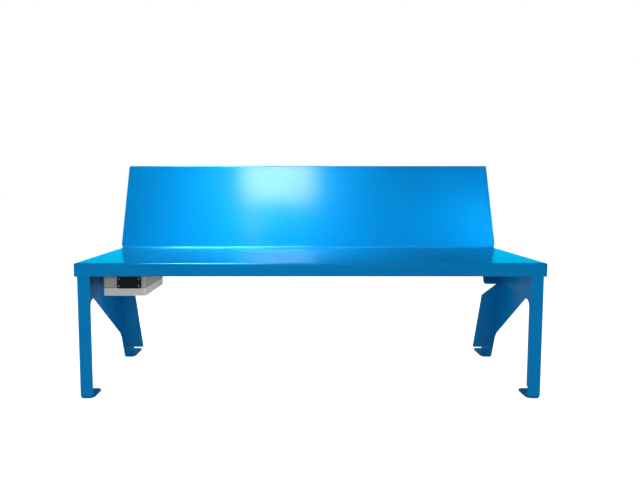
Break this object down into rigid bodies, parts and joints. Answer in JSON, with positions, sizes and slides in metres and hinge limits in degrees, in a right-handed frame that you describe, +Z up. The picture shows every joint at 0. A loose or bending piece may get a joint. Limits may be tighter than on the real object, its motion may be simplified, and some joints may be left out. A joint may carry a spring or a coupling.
{
  "type": "heated bench",
  "caption": "Street bench of folded blue steel sheet: a flat seat and leaning back on two folded leg frames, with a heating mat under the seat and a control box behind the apron.",
  "frame": {"origin": "on the floor, below the middle of the bench's bounding box", "axes": "+X to the sitter's left, which is the right in the picture; +Y from the apron to the back; +Z up"},
  "size_m": [1.506, 0.5732, 0.7779],
  "materials": {
    "blue_paint": "satin",
    "zinc": "satin",
    "stainless": "satin",
    "box_grey": "matte",
    "gloss_black": "gloss",
    "black_plastic": "matte",
    "black_rubber": "matte",
    "red_silicone": "matte",
    "mineral_board": "matte",
    "circuit_board": "satin",
    "grey_plastic": "matte"
  },
  "bodies": {
    "root": {"seat_back_shell": "blue_paint", "left_leg_frame": "blue_paint", "right_leg_frame": "blue_paint", "leg_studs": "zinc", "leg_washers": "zinc", "leg_nuts": "zinc", "heating_mat": "red_silicone", "heater_connection_patch": "red_silicone", "thermal_cutout": "black_plastic", "temperature_sensor": "stainless", "insulation_board": "mineral_board", "bottom_cover": "zinc", "cover_studs": "zinc", "cover_nuts": "zinc", "heater_lead": "black_rubber", "sensor_lead": "black_rubber", "lead_bushes": "black_rubber", "control_box_body": "box_grey", "control_box_lid": "box_grey", "lid_gasket": "black_rubber", "lid_screws": "stainless", "box_screws": "zinc", "box_rivet_nuts": "zinc", "front_plate": "gloss_black", "front_plate_gasket": "black_rubber", "front_plate_screws": "stainless", "gland_body": "black_plastic", "gland_locknut": "black_plastic", "gland_seal": "black_rubber", "gland_cap": "black_plastic", "chassis_plate": "zinc", "chassis_screws": "zinc", "terminal_block": "grey_plastic", "power_relay": "black_plastic", "thermostat_board": "circuit_board", "board_standoffs": "zinc", "board_screws": "zinc"}
  },
  "joints": []
}
